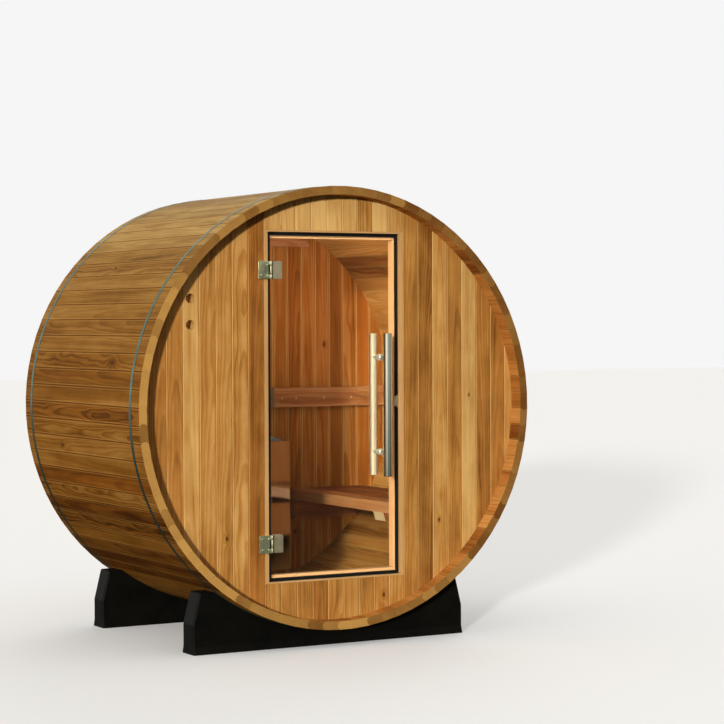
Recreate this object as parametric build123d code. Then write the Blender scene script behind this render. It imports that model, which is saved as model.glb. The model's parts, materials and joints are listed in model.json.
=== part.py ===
from build123d import *
import math
import os

# Barrel sauna cabin: coopered barrel on two cradles, with a glass door.
# Working frame of the shapes: barrel axis along Y, front rim at y = 0, axis at x = 0 and z = 0.
# Every piece is moved at the end so that the origin lies on the ground under the middle.

# Barrel shell
BARREL_DIAMETER = 1828.8
BARREL_LENGTH = 1219.2
STAVE_COUNT = 80
STAVE_THICKNESS = 35.0
STAVE_PHASE = -1.0
STAVES_PER_PIECE = 8
BEAD_RISE = 8.0
EDGE_LAND = 2.5
JOINT_GAP = 0.3
OVERCUT = 5.0

# End walls
WALL_INSET = 70.0
WALL_THICKNESS = 37.0
CROZE_DEPTH = 10.0
SEAT_GAP = 0.2
BOARD_PITCH = 73.0
BOARD_CHAMFER = 2.5
TONGUE_THICKNESS = 9.0
TONGUE_DEPTH = 8.0
TONGUE_PLAY = 0.3

# Doorway, set in from the top and the bottom of the front wall
DOORWAY_BOARDS = 9
DOORWAY_OFFSET = 3.0
DOORWAY_BELOW_TOP = 164.6
DOORWAY_ABOVE_BOTTOM = 180.6
JAMB_THICKNESS = 17.5
JAMB_DEPTH = 66.0
HEAD_THICKNESS = 7.0
STOP_SIDE_WIDTH = 16.0
STOP_END_WIDTH = 25.0
STOP_CLEARANCE = 5.2

# Glass door
GLASS_THICKNESS = 8.0
GLASS_SETBACK = 10.0
DOOR_GAP = 10.0
EDGE_SEAL = 3.0
EDGE_SEAL_LAP = 1.5
EDGE_SEAL_DEPTH = 10.0
JAMB_SEAL = 4.0
JAMB_SEAL_DEPTH = 14.0
SEAL_FLANGE_WIDTH = 12.0
SEAL_FLANGE_THICKNESS = 3.0

# Door hinges
HINGE_HEIGHT = 73.0
HINGE_FROM_END = 156.5
HINGE_WALL_REACH = 46.0
HINGE_GLASS_REACH = 41.0
HINGE_PLATE = 8.0
HINGE_CLAMP_RECESS = 3.0
HINGE_CORNER_RADIUS = 3.0
HINGE_KNUCKLE_RADIUS = 7.0
HINGE_PIN_RADIUS = 4.0
HINGE_PIN_PLAY = 0.05
HINGE_LUG_LENGTH = 18.0
HINGE_LUG_GAP = 1.0
HINGE_AXIS_FROM_JAMB = 12.0
HINGE_LEAF_GAP = 3.0

# Door handles
HANDLE_FROM_EDGE = 75.0
HANDLE_BELOW_MIDDLE = 1.0
HANDLE_LENGTH = 598.0
HANDLE_RADIUS = 18.5
HANDLE_END_RADIUS = 1.5
HANDLE_OFFSET = 58.0
STANDOFF_FROM_END = 100.0
STANDOFF_RADIUS = 9.5
STANDOFF_COLLAR = 4.0
STANDOFF_COLLAR_LENGTH = 6.0

# Door catch, clamped on the free edge of the pane
CATCH_LAP = 8.0
CATCH_REACH = 4.3
CATCH_HEIGHT = 41.0
CATCH_ABOVE_MIDDLE = 12.0
CATCH_PROUD = 4.0
CATCH_CLEARANCE = 6.0

# Vents in the front wall, in the board that lies this count of boards in from the rim
VENT_RADIUS = 19.0
VENT_BELOW_BOARD_END = 147.0
VENT_SPACING = 106.0
VENT_BOARD_COUNT = 3

# Strap bands
BAND_WIDTH = 19.0
BAND_THICKNESS = 1.0
BAND_SEAT = 0.2
BAND_FRONT_INSET = 85.5
BAND_REAR_INSET = 69.5
BAND_LUG_ANGLE = -62.0
BAND_LUG_LENGTH = 24.0
BAND_LUG_HEIGHT = 20.0
BAND_LUG_SPACE = 26.0
BAND_BOLT_RADIUS = 4.0
BAND_BOLT_END = 9.0
BAND_NUT_LENGTH = 6.0

# Cradles
GROUND_CLEARANCE = 70.6
CRADLE_INSET = 98.0
CRADLE_THICKNESS = 98.0
CRADLE_SEAT = 0.3
CRADLE_SEAT_ANGLE = 36.6
CRADLE_TOP_FLAT = 61.0
CRADLE_SLOPE_OUT = 32.0
CRADLE_SLOPE_DROP = 130.5
CRADLE_LIP_HEIGHT = 32.0
CRADLE_LIP_FLARE = 10.0
CRADLE_EDGE_RADIUS = 8.0

# Benches
BENCH_HEIGHT = 461.7
BENCH_WALL_GAP = 22.0
SLAT_WIDTH = 89.0
SLAT_THICKNESS = 48.0
SLAT_GAP = 12.0
SLAT_COUNT = 4
SLAT_EDGE_RADIUS = 4.0
TIMBER_WIDTH = 89.0
TIMBER_THICKNESS = 38.0
LEDGER_SETBACK = 12.0
CLEAT_SETBACK = 5.0
CLEAT_FROM_WALL = 143.0
CLEAT_BEVEL = 12.0
TIMBER_END_GAP = 10.0

# Rear wall battens
BATTEN_FROM_HEATER = 40.0
BATTEN_BELOW_AXIS = 38.0
TOP_BATTEN_BELOW_CEILING = 175.7
TOP_BATTEN_SPLAY = 60.0

# Heater
HEATER_WIDTH = 400.0
HEATER_DEPTH = 250.0
HEATER_HEIGHT = 578.0
HEATER_ABOVE_FLOOR = 122.7
HEATER_STANDOFF = 22.0
HEATER_SHEET = 12.0
HEATER_TRAY_DEPTH = 70.0
HEATER_CORNER_RADIUS = 6.0
HEATER_BRACKET_LENGTH = 280.0
HEATER_BRACKET_WIDTH = 60.0
HEATER_BRACKET_FROM_END = 90.0
STONE_COLUMNS = 6
STONE_ROWS = 3
STONE_SIZE = 46.0
STONE_RISE = 26.0
STONE_CHAMFER = 11.0

# Sizes that follow from the ones above
RADIUS = BARREL_DIAMETER / 2
HALF_ANGLE = math.radians(180 / STAVE_COUNT)
OUTER_FLAT = RADIUS * math.cos(HALF_ANGLE)
INNER_FLAT = OUTER_FLAT - STAVE_THICKNESS
WALL_RADIUS = INNER_FLAT + CROZE_DEPTH - SEAT_GAP
AXIS_HEIGHT = RADIUS + GROUND_CLEARANCE
DOORWAY_TOP = WALL_RADIUS - DOORWAY_BELOW_TOP
DOORWAY_BOTTOM = DOORWAY_ABOVE_BOTTOM - WALL_RADIUS
DOORWAY_MIDDLE = (DOORWAY_TOP + DOORWAY_BOTTOM) / 2
FRONT_WALL_Y = WALL_INSET
FRONT_WALL_BACK = FRONT_WALL_Y + WALL_THICKNESS
REAR_WALL_Y = BARREL_LENGTH - WALL_INSET - WALL_THICKNESS
DOORWAY_EDGE = DOORWAY_BOARDS * BOARD_PITCH / 2
CLEAR_HALF_WIDTH = DOORWAY_EDGE - JAMB_THICKNESS - JOINT_GAP
GLASS_FRONT = FRONT_WALL_Y + GLASS_SETBACK
GLASS_BACK = GLASS_FRONT + GLASS_THICKNESS
DOOR_HALF_WIDTH = CLEAR_HALF_WIDTH - DOOR_GAP
DOOR_BOTTOM = DOORWAY_BOTTOM + DOOR_GAP
DOOR_TOP = DOORWAY_TOP - DOOR_GAP
EDGE_SEAL_FRONT = (GLASS_FRONT + GLASS_BACK - EDGE_SEAL_DEPTH) / 2
HINGE_X = -CLEAR_HALF_WIDTH + HINGE_AXIS_FROM_JAMB
HINGE_AXIS_X = HINGE_X + DOORWAY_OFFSET
HINGE_Y = FRONT_WALL_Y - HINGE_KNUCKLE_RADIUS
HINGE_UPPER_Z = DOORWAY_TOP - HINGE_FROM_END
HINGE_LOWER_Z = DOORWAY_BOTTOM + HINGE_FROM_END
HANDLE_X = DOOR_HALF_WIDTH - HANDLE_FROM_EDGE
HANDLE_MIDDLE = DOORWAY_MIDDLE - HANDLE_BELOW_MIDDLE
CATCH_BOTTOM = DOORWAY_MIDDLE + CATCH_ABOVE_MIDDLE - CATCH_HEIGHT / 2
LAST_BOARD = int(WALL_RADIUS / BOARD_PITCH)
VENT_BOARD = VENT_BOARD_COUNT - LAST_BOARD
VENT_X = VENT_BOARD * BOARD_PITCH
VENT_UPPER_Z = math.sqrt(WALL_RADIUS ** 2 - VENT_X ** 2) - VENT_BELOW_BOARD_END
VENT_LOWER_Z = VENT_UPPER_Z - VENT_SPACING
BENCH_TOP = BENCH_HEIGHT - INNER_FLAT
BENCH_BOTTOM = BENCH_TOP - SLAT_THICKNESS
BENCH_OUTER_X = math.sqrt(INNER_FLAT ** 2 - BENCH_BOTTOM ** 2) - BENCH_WALL_GAP
BENCH_INNER_X = BENCH_OUTER_X - SLAT_COUNT * SLAT_WIDTH - (SLAT_COUNT - 1) * SLAT_GAP
HEATER_BOTTOM = HEATER_ABOVE_FLOOR - INNER_FLAT
HEATER_TOP = HEATER_BOTTOM + HEATER_HEIGHT
HEATER_BACK_Y = REAR_WALL_Y - HEATER_STANDOFF
HEATER_FRONT_Y = HEATER_BACK_Y - HEATER_DEPTH
CRADLE_FRONT_Y = CRADLE_INSET
CRADLE_REAR_Y = BARREL_LENGTH - CRADLE_INSET - CRADLE_THICKNESS
STOP_FRONT = EDGE_SEAL_FRONT + EDGE_SEAL_DEPTH + STOP_CLEARANCE + SEAL_FLANGE_THICKNESS
STOP_DEPTH = FRONT_WALL_Y + JAMB_DEPTH - STOP_FRONT
HANDLE_FRONT = GLASS_FRONT - HANDLE_OFFSET - HANDLE_RADIUS
MIDDLE_Y = (min(HANDLE_FRONT, 0.0) + BARREL_LENGTH) / 2


def block(x0, x1, y0, y1, z0, z1):
    """Plain box between two opposite corners."""
    centre = ((x0 + x1) / 2, (y0 + y1) / 2, (z0 + z1) / 2)
    return Pos(*centre) * Box(abs(x1 - x0), abs(y1 - y0), abs(z1 - z0))


def extrude_y(edges, start, length):
    """Solid with a closed outline in the XZ plane, run along +Y."""
    face = make_face(edges)
    return Pos(0, start, 0) * extrude(face, amount=length, dir=(0, 1, 0))


def extrude_z(points, start, length):
    """Solid with a closed polygon in the XY plane, run along +Z."""
    face = make_face(Polyline(*[(x, y, 0) for x, y in points], close=True))
    return Pos(0, 0, start) * extrude(face, amount=length, dir=(0, 0, 1))


def rod_y(x, z, radius, y0, y1):
    """Round bar along Y."""
    return Pos(x, (y0 + y1) / 2, z) * Rot(90, 0, 0) * Cylinder(radius, abs(y1 - y0))


def rod_z(x, y, radius, z0, z1):
    """Round bar along Z."""
    return Pos(x, y, (z0 + z1) / 2) * Cylinder(radius, abs(z1 - z0))


def mirrored(shapes):
    """The same pieces on the other side of the cabin."""
    return [mirror(shape, about=Plane.YZ) for shape in shapes]


def in_doorway(shapes):
    """Pieces drawn about the middle of the doorway, moved to where the doorway is."""
    return [Pos(DOORWAY_OFFSET, 0, 0) * shape for shape in shapes]


# Staves: flat faces, one rounded edge (bead) that nests in the next stave's hollow edge (cove)

def stave_side(sign):
    """Corner points and outward direction of one long edge, before bead or cove."""
    along = (sign * math.sin(HALF_ANGLE), math.cos(HALF_ANGLE))
    across = (sign * math.cos(HALF_ANGLE), -math.sin(HALF_ANGLE))
    inset = JOINT_GAP / 2
    outer = (RADIUS * along[0] - inset * across[0], OUTER_FLAT)
    inner = (sign * INNER_FLAT * math.tan(HALF_ANGLE) - inset * across[0], INNER_FLAT)
    return outer, inner, along, across


def stave_blank():
    """Stave at the top of the barrel with bead, cove and both croze grooves."""
    outline = []
    ends = {}
    for sign in (1, -1):
        outer, inner, along, across = stave_side(sign)
        upper = (outer[0] - EDGE_LAND * along[0], outer[1] - EDGE_LAND * along[1])
        lower = (inner[0] + EDGE_LAND * along[0], inner[1] + EDGE_LAND * along[1])
        push = BEAD_RISE * sign
        middle = ((upper[0] + lower[0]) / 2 + push * across[0], (upper[1] + lower[1]) / 2 + push * across[1])
        outline.append(Line((outer[0], 0, outer[1]), (upper[0], 0, upper[1])))
        outline.append(ThreePointArc((upper[0], 0, upper[1]), (middle[0], 0, middle[1]), (lower[0], 0, lower[1])))
        outline.append(Line((lower[0], 0, lower[1]), (inner[0], 0, inner[1])))
        ends[sign] = (outer, inner)
    outline.append(Line((ends[1][0][0], 0, ends[1][0][1]), (ends[-1][0][0], 0, ends[-1][0][1])))
    outline.append(Line((ends[1][1][0], 0, ends[1][1][1]), (ends[-1][1][0], 0, ends[-1][1][1])))
    body = extrude_y(outline, 0, BARREL_LENGTH)
    reach = RADIUS * math.tan(HALF_ANGLE) + BEAD_RISE + OVERCUT
    for wall_y in (FRONT_WALL_Y, REAR_WALL_Y):
        groove = block(-reach, reach, wall_y - SEAT_GAP, wall_y + WALL_THICKNESS + SEAT_GAP,
                       INNER_FLAT - OVERCUT, INNER_FLAT + CROZE_DEPTH)
        body -= groove
    return body


def stave_pieces():
    """The whole shell, several staves to a piece, numbered clockwise from the top of the front rim."""
    blank = stave_blank()
    pitch = 360 / STAVE_COUNT
    pieces = {}
    for number in range(STAVE_COUNT // STAVES_PER_PIECE):
        first = number * STAVES_PER_PIECE
        staves = [Rot(0, STAVE_PHASE + pitch * index, 0) * blank
                  for index in range(first, first + STAVES_PER_PIECE)]
        pieces["staves_%02d" % (number + 1)] = staves
    return pieces


# End walls: upright tongue and groove boards that end in the croze

def board_profile(x0, x1, y0, tongue, groove):
    """Plan outline of one board with a V joint on both faces."""
    y1 = y0 + WALL_THICKNESS
    left = x0 + JOINT_GAP / 2
    right = x1 - JOINT_GAP / 2
    c = BOARD_CHAMFER
    mid = (y0 + y1) / 2
    points = [(left, y0 + c), (left + c, y0), (right - c, y0), (right, y0 + c)]
    if tongue:
        half = TONGUE_THICKNESS / 2
        tip = right + TONGUE_DEPTH
        points += [(right, mid - half), (tip, mid - half), (tip, mid + half), (right, mid + half)]
    points += [(right, y1 - c), (right - c, y1), (left + c, y1), (left, y1 - c)]
    if groove:
        half = TONGUE_THICKNESS / 2 + TONGUE_PLAY
        root = left + TONGUE_DEPTH + TONGUE_PLAY
        points += [(left, mid + half), (root, mid + half), (root, mid - half), (left, mid - half)]
    return points


def wall_board(x0, x1, y0, z0=None, z1=None, tongue=True, groove=True):
    """One board, cut to the round of the croze and to a straight end where one is given."""
    low = -RADIUS if z0 is None else z0
    high = RADIUS if z1 is None else z1
    body = extrude_z(board_profile(x0, x1, y0, tongue, groove), low, high - low)
    disc = rod_y(0, 0, WALL_RADIUS, y0 - 1, y0 + WALL_THICKNESS + 1)
    return body & disc


def board_span(index, offset=0.0):
    """Left and right joint of a numbered board; board 0 stands in the middle, or offset to the right of it."""
    return offset + (index - 0.5) * BOARD_PITCH, offset + (index + 0.5) * BOARD_PITCH


def front_wall():
    """Boards beside, over and under the doorway, and the vent board."""
    side = (DOORWAY_BOARDS - 1) // 2
    last = LAST_BOARD
    left, right, over, under = [], [], [], []
    vent = None
    for index in range(-last, last + 1):
        x0, x1 = board_span(index, DOORWAY_OFFSET)
        x0 = max(x0, -WALL_RADIUS + 1)
        x1 = min(x1, WALL_RADIUS - 1)
        if abs(index) <= side:
            tongue = index < side
            groove = index > -side
            over.append(wall_board(x0, x1, FRONT_WALL_Y, DOORWAY_TOP + HEAD_THICKNESS + JOINT_GAP, None,
                                   tongue, groove))
            under.append(wall_board(x0, x1, FRONT_WALL_Y, None, DOORWAY_BOTTOM - HEAD_THICKNESS - JOINT_GAP,
                                    tongue, groove))
            continue
        tongue = index not in (-side - 1, last)
        groove = index not in (side + 1, -last)
        board = wall_board(x0, x1, FRONT_WALL_Y, None, None, tongue, groove)
        if index == VENT_BOARD:
            for z in (VENT_UPPER_Z, VENT_LOWER_Z):
                board -= rod_y(VENT_X, z, VENT_RADIUS, FRONT_WALL_Y - 1, FRONT_WALL_BACK + 1)
            vent = board
        elif index < 0:
            left.append(board)
        else:
            right.append(board)
    return {"front_wall_left": left, "front_wall_right": right, "front_wall_over_door": over,
            "front_wall_under_door": under, "vent_board": [vent]}


def rear_wall():
    """Whole boards from side to side."""
    last = LAST_BOARD
    left, right = [], []
    for index in range(-last, last + 1):
        x0, x1 = board_span(index)
        x0 = max(x0, -WALL_RADIUS + 1)
        x1 = min(x1, WALL_RADIUS - 1)
        board = wall_board(x0, x1, REAR_WALL_Y, None, None, index < last, index > -last)
        (left if index < 0 else right).append(board)
    return {"rear_wall_left": left, "rear_wall_right": right}


# Doorway lining, stops and seals

def door_frame():
    """Jambs between a thin head and sill."""
    y0, y1 = FRONT_WALL_Y, FRONT_WALL_Y + JAMB_DEPTH
    inner, outer = CLEAR_HALF_WIDTH, DOORWAY_EDGE - JOINT_GAP
    jamb = block(inner, outer, y0, y1, DOORWAY_BOTTOM + JOINT_GAP, DOORWAY_TOP - JOINT_GAP)
    head = block(-outer, outer, y0, y1, DOORWAY_TOP, DOORWAY_TOP + HEAD_THICKNESS)
    sill = block(-outer, outer, y0, y1, DOORWAY_BOTTOM - HEAD_THICKNESS, DOORWAY_BOTTOM)
    return {"door_jambs": [jamb] + mirrored([jamb]), "door_head": [head], "door_sill": [sill]}


def rim_strips(half_width, bottom, top, width, height, y0, y1, gap):
    """Four strips round the inside of a rectangle; the upright ones run between the others."""
    upright = block(half_width - width, half_width, y0, y1, bottom + height + gap, top - height - gap)
    upper = block(-half_width, half_width, y0, y1, top - height, top)
    lower = block(-half_width, half_width, y0, y1, bottom, bottom + height)
    return [upright] + mirrored([upright]) + [upper, lower]


def door_trim():
    """Wooden stops behind the glass and the rubber strip in front of them, with a flange at the top and bottom."""
    clear = JOINT_GAP / 2
    half, low, high = CLEAR_HALF_WIDTH - clear, DOORWAY_BOTTOM + clear, DOORWAY_TOP - clear
    stops = rim_strips(half, low, high, STOP_SIDE_WIDTH, STOP_END_WIDTH, STOP_FRONT, STOP_FRONT + STOP_DEPTH,
                       JOINT_GAP)
    seal_front = STOP_FRONT - clear - JAMB_SEAL_DEPTH
    seals = rim_strips(half, low, high, JAMB_SEAL, JAMB_SEAL, seal_front, STOP_FRONT - clear, 0.0)
    seal = seals[0] + seals[1] + seals[2] + seals[3]
    for z0 in (low, high - SEAL_FLANGE_WIDTH):
        seal += block(-half, half, STOP_FRONT - SEAL_FLANGE_THICKNESS, STOP_FRONT - clear, z0,
                      z0 + SEAL_FLANGE_WIDTH)
    seal -= block(0, half + 1, seal_front - 1, STOP_FRONT, CATCH_BOTTOM - CATCH_CLEARANCE,
                  CATCH_BOTTOM + CATCH_HEIGHT + CATCH_CLEARANCE)
    return {"door_stops": stops, "door_jamb_seal": [seal]}


# Glass door

def door_pane():
    """Clear pane with a black edge strip all round."""
    half, low, high = DOOR_HALF_WIDTH, DOOR_BOTTOM, DOOR_TOP
    e = EDGE_SEAL
    glass = block(-half + e, half - e, GLASS_FRONT, GLASS_BACK, low + e, high - e)
    y0, y1 = EDGE_SEAL_FRONT, EDGE_SEAL_FRONT + EDGE_SEAL_DEPTH
    lap = EDGE_SEAL_LAP
    seal = block(-half, half, y0, y1, low, high)
    seal -= block(-half + e + lap, half - e - lap, y0 - 1, y1 + 1, low + e + lap, high - e - lap)
    seal -= block(-half + e, half - e, GLASS_FRONT, GLASS_BACK, low + e, high - e)
    notch = SEAT_GAP / 2
    seal -= block(half - CATCH_LAP - notch, half + 1, y0 - 1, y1 + 1, CATCH_BOTTOM - notch,
                  CATCH_BOTTOM + CATCH_HEIGHT + notch)
    return {"door_glass": [glass], "door_edge_seal": [seal]}


def hinge_wall_leaf(z):
    """Plate on the jamb with two lugs and the pin."""
    low, high = z - HINGE_HEIGHT / 2, z + HINGE_HEIGHT / 2
    plate = block(-CLEAR_HALF_WIDTH - HINGE_WALL_REACH, -CLEAR_HALF_WIDTH, FRONT_WALL_Y - HINGE_PLATE,
                  FRONT_WALL_Y, low, high)
    plate = fillet(plate.edges().filter_by(Axis.Y), HINGE_CORNER_RADIUS)
    leaf = plate
    for z0, z1 in ((low, low + HINGE_LUG_LENGTH), (high - HINGE_LUG_LENGTH, high)):
        leaf += rod_z(HINGE_X, HINGE_Y, HINGE_KNUCKLE_RADIUS, z0, z1)
        leaf += block(-CLEAR_HALF_WIDTH - 4, HINGE_X, FRONT_WALL_Y - HINGE_PLATE, FRONT_WALL_Y, z0, z1)
    leaf += rod_z(HINGE_X, HINGE_Y, HINGE_PIN_RADIUS, low + 1, high - 1)
    return leaf


def hinge_glass_leaf(z):
    """Front plate with the middle knuckle, clamp plate behind the glass."""
    low, high = z - HINGE_HEIGHT / 2, z + HINGE_HEIGHT / 2
    x0 = HINGE_X + HINGE_KNUCKLE_RADIUS + HINGE_LEAF_GAP
    x1 = x0 + HINGE_GLASS_REACH
    front_y = FRONT_WALL_Y - HINGE_PLATE + HINGE_CLAMP_RECESS
    front = block(x0, x1, front_y, EDGE_SEAL_FRONT - SEAT_GAP, low, high)
    front = fillet(front.edges().filter_by(Axis.Y), HINGE_CORNER_RADIUS)
    k0 = low + HINGE_LUG_LENGTH + HINGE_LUG_GAP
    k1 = high - HINGE_LUG_LENGTH - HINGE_LUG_GAP
    front += block(HINGE_X, x0 + 4, front_y, EDGE_SEAL_FRONT - SEAT_GAP - 3, k0, k1)
    front += rod_z(HINGE_X, HINGE_Y, HINGE_KNUCKLE_RADIUS, k0, k1)
    front -= rod_z(HINGE_X, HINGE_Y, HINGE_PIN_RADIUS + HINGE_PIN_PLAY, k0 - 1, k1 + 1)
    inner = x0 + EDGE_SEAL + EDGE_SEAL_LAP
    front += block(inner, x1 - 3, EDGE_SEAL_FRONT - SEAT_GAP - 1, GLASS_FRONT - SEAT_GAP / 2, low + 3, high - 3)
    back = block(inner, x1, GLASS_BACK + SEAT_GAP / 2, GLASS_BACK + HINGE_PLATE, low, high)
    back = fillet(back.edges().filter_by(Axis.Y), HINGE_CORNER_RADIUS)
    return [front, back]


def door_handle(side):
    """Round tube with closed ends on two standoffs; side is -1 outside and 1 inside."""
    face = GLASS_FRONT - SEAT_GAP / 2 if side < 0 else GLASS_BACK + SEAT_GAP / 2
    y = face + side * HANDLE_OFFSET
    z0 = HANDLE_MIDDLE - HANDLE_LENGTH / 2
    z1 = HANDLE_MIDDLE + HANDLE_LENGTH / 2
    tube = rod_z(HANDLE_X, y, HANDLE_RADIUS, z0, z1)
    tube = fillet(tube.edges().filter_by(GeomType.CIRCLE), HANDLE_END_RADIUS)
    for z in (z0 + STANDOFF_FROM_END, z1 - STANDOFF_FROM_END):
        tube += rod_y(HANDLE_X, z, STANDOFF_RADIUS, face, y)
        tube += rod_y(HANDLE_X, z, STANDOFF_RADIUS + STANDOFF_COLLAR, face, face + side * STANDOFF_COLLAR_LENGTH)
    return tube


def door_catch():
    """Small metal catch that wraps the free edge of the pane."""
    x0, x1 = DOOR_HALF_WIDTH - CATCH_LAP, DOOR_HALF_WIDTH + CATCH_REACH
    y0, y1 = GLASS_FRONT - CATCH_PROUD, EDGE_SEAL_FRONT + EDGE_SEAL_DEPTH
    body = block(x0, x1, y0, y1, CATCH_BOTTOM, CATCH_BOTTOM + CATCH_HEIGHT)
    clear = SEAT_GAP / 2
    body -= block(x0 - 1, DOOR_HALF_WIDTH - EDGE_SEAL + clear, GLASS_FRONT - clear, GLASS_BACK + clear,
                  CATCH_BOTTOM - 1, CATCH_BOTTOM + CATCH_HEIGHT + 1)
    return body


# Strap bands with a bolted tightener

def strap_band(y):
    """Flat band round the staves, open between two lugs joined by a bolt."""
    inner = RADIUS + BAND_SEAT
    outer = inner + BAND_THICKNESS
    y0, y1 = y - BAND_WIDTH / 2, y + BAND_WIDTH / 2
    ring = rod_y(0, 0, outer, y0, y1) - rod_y(0, 0, inner, y0 - 1, y1 + 1)
    turn = Rot(0, -BAND_LUG_ANGLE, 0)
    space = BAND_LUG_SPACE / 2
    ring -= turn * block(inner - OVERCUT, outer + OVERCUT, y0 - 1, y1 + 1, -space, space)
    for side in (-1, 1):
        z0, z1 = side * space, side * (space + BAND_LUG_LENGTH)
        lug = block(outer - 0.5, outer + BAND_LUG_HEIGHT, y0, y1, z0, z1)
        ring += turn * (lug - rod_y(0, 0, outer - 0.5, y0 - 1, y1 + 1))
    reach = space + BAND_LUG_LENGTH + BAND_BOLT_END
    bolt = rod_z(outer + BAND_LUG_HEIGHT * 0.55, y, BAND_BOLT_RADIUS, -reach, reach)
    head = rod_z(outer + BAND_LUG_HEIGHT * 0.55, y, BAND_BOLT_RADIUS * 1.7, reach - 1 - BAND_NUT_LENGTH, reach - 1)
    ring += turn * bolt
    ring += turn * head
    return ring


# Cradles

def cradle(y):
    """Saddle block: upright sides, sloping shoulders, flat tops, a hollow for the barrel and a flared base."""
    ground = -AXIS_HEIGHT
    seat = RADIUS + CRADLE_SEAT
    seat_x = seat * math.sin(math.radians(CRADLE_SEAT_ANGLE))
    top = -seat * math.cos(math.radians(CRADLE_SEAT_ANGLE))
    wide = seat_x + CRADLE_TOP_FLAT
    half = wide + CRADLE_SLOPE_OUT
    shoulder = top - CRADLE_SLOPE_DROP
    right = [(half, 0, ground), (half, 0, shoulder), (wide, 0, top), (seat_x, 0, top)]
    left = [(-x, 0, z) for x, _, z in right]
    outline = [Polyline(*right), ThreePointArc(right[-1], (0, 0, -seat), left[-1]),
               Polyline(*left), Line(left[0], right[0])]
    body = extrude_y(outline, y, CRADLE_THICKNESS)
    edges = [edge for edge in body.edges()
             if abs(edge.center().X) > seat_x and edge.center().Z > ground + 1]
    body = fillet(edges, CRADLE_EDGE_RADIUS)
    y1 = y + CRADLE_THICKNESS
    flare = CRADLE_LIP_FLARE
    lip_top = ground + CRADLE_LIP_HEIGHT
    section = make_face(Polyline((0, y, lip_top), (0, y1, lip_top), (0, y1 + flare, ground),
                                 (0, y - flare, ground), close=True))
    lip = Pos(-half, 0, 0) * extrude(section, amount=2 * half, dir=(1, 0, 0))
    corners = [edge for edge in lip.edges()
               if abs(edge.tangent_at(0.5).X) < 0.01 and ground + 1 < edge.center().Z < lip_top - 1]
    return body + fillet(corners, CRADLE_EDGE_RADIUS)


# Benches, battens and heater

def reach_to_staves(z):
    """Distance from the middle to the inner face of the staves at a height."""
    return math.sqrt(INNER_FLAT ** 2 - z ** 2)


def bench_side():
    """Slats, a cleat with a bevelled end and ledgers of the right bench."""
    y0, y1 = FRONT_WALL_BACK + SEAT_GAP, REAR_WALL_Y - SEAT_GAP
    slats = []
    for number in range(SLAT_COUNT):
        x0 = BENCH_INNER_X + number * (SLAT_WIDTH + SLAT_GAP)
        slat = block(x0, x0 + SLAT_WIDTH, y0, y1, BENCH_BOTTOM, BENCH_TOP)
        top = slat.edges().filter_by(Axis.Y).sort_by(Axis.Z)[-2:]
        slats.append(fillet(top, SLAT_EDGE_RADIUS))
    high = BENCH_BOTTOM - SEAT_GAP
    low = high - TIMBER_THICKNESS
    inner = BENCH_INNER_X + CLEAT_SETBACK
    outer = reach_to_staves(low) - TIMBER_END_GAP
    outline = [Polyline((inner, 0, high), (outer, 0, high), (outer, 0, low), (inner + CLEAT_BEVEL, 0, low),
                        close=True)]
    cleats = [extrude_y(outline, y0 + CLEAT_FROM_WALL, TIMBER_WIDTH)]
    outer = reach_to_staves(high - TIMBER_WIDTH) - TIMBER_END_GAP
    ledgers = [block(BENCH_INNER_X + LEDGER_SETBACK, outer, y, y + TIMBER_THICKNESS, high - TIMBER_WIDTH, high)
               for y in (y0, y1 - TIMBER_THICKNESS)]
    return slats, cleats, ledgers


def rear_battens():
    """Flat timbers on the rear wall: one each side of the heater and one near the ceiling."""
    y1 = REAR_WALL_Y - SEAT_GAP
    y0 = y1 - TIMBER_THICKNESS
    low = -BATTEN_BELOW_AXIS
    outer = reach_to_staves(low + TIMBER_WIDTH) - TIMBER_END_GAP
    side = block(HEATER_WIDTH / 2 + BATTEN_FROM_HEATER, outer, y0, y1, low, low + TIMBER_WIDTH)
    low = INNER_FLAT - TOP_BATTEN_BELOW_CEILING
    high = low + TIMBER_WIDTH
    short = reach_to_staves(high) - TIMBER_END_GAP
    wide = short + TOP_BATTEN_SPLAY
    outline = [Polyline((-wide, 0, low), (wide, 0, low), (short, 0, high), (-short, 0, high), close=True)]
    return [side] + mirrored([side]) + [extrude_y(outline, y0, TIMBER_THICKNESS)]


def heater_case():
    """Closed steel case with an open stone tray on top and two wall brackets behind."""
    half = HEATER_WIDTH / 2
    y0, y1 = HEATER_FRONT_Y, HEATER_FRONT_Y + HEATER_DEPTH
    case = block(-half, half, y0, y1, HEATER_BOTTOM, HEATER_TOP)
    case = fillet(case.edges().filter_by(Axis.Z), HEATER_CORNER_RADIUS)
    s = HEATER_SHEET
    case -= block(-half + s, half - s, y0 + s, y1 - s, HEATER_TOP - HEATER_TRAY_DEPTH, HEATER_TOP + 1)
    reach = HEATER_BRACKET_LENGTH / 2
    for z in (HEATER_TOP - HEATER_BRACKET_FROM_END, HEATER_BOTTOM + HEATER_BRACKET_FROM_END):
        z0, z1 = z - HEATER_BRACKET_WIDTH / 2, z + HEATER_BRACKET_WIDTH / 2
        case += block(-reach, reach, y1 - 1, REAR_WALL_Y - SEAT_GAP, z0, z1)
    return case


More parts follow.
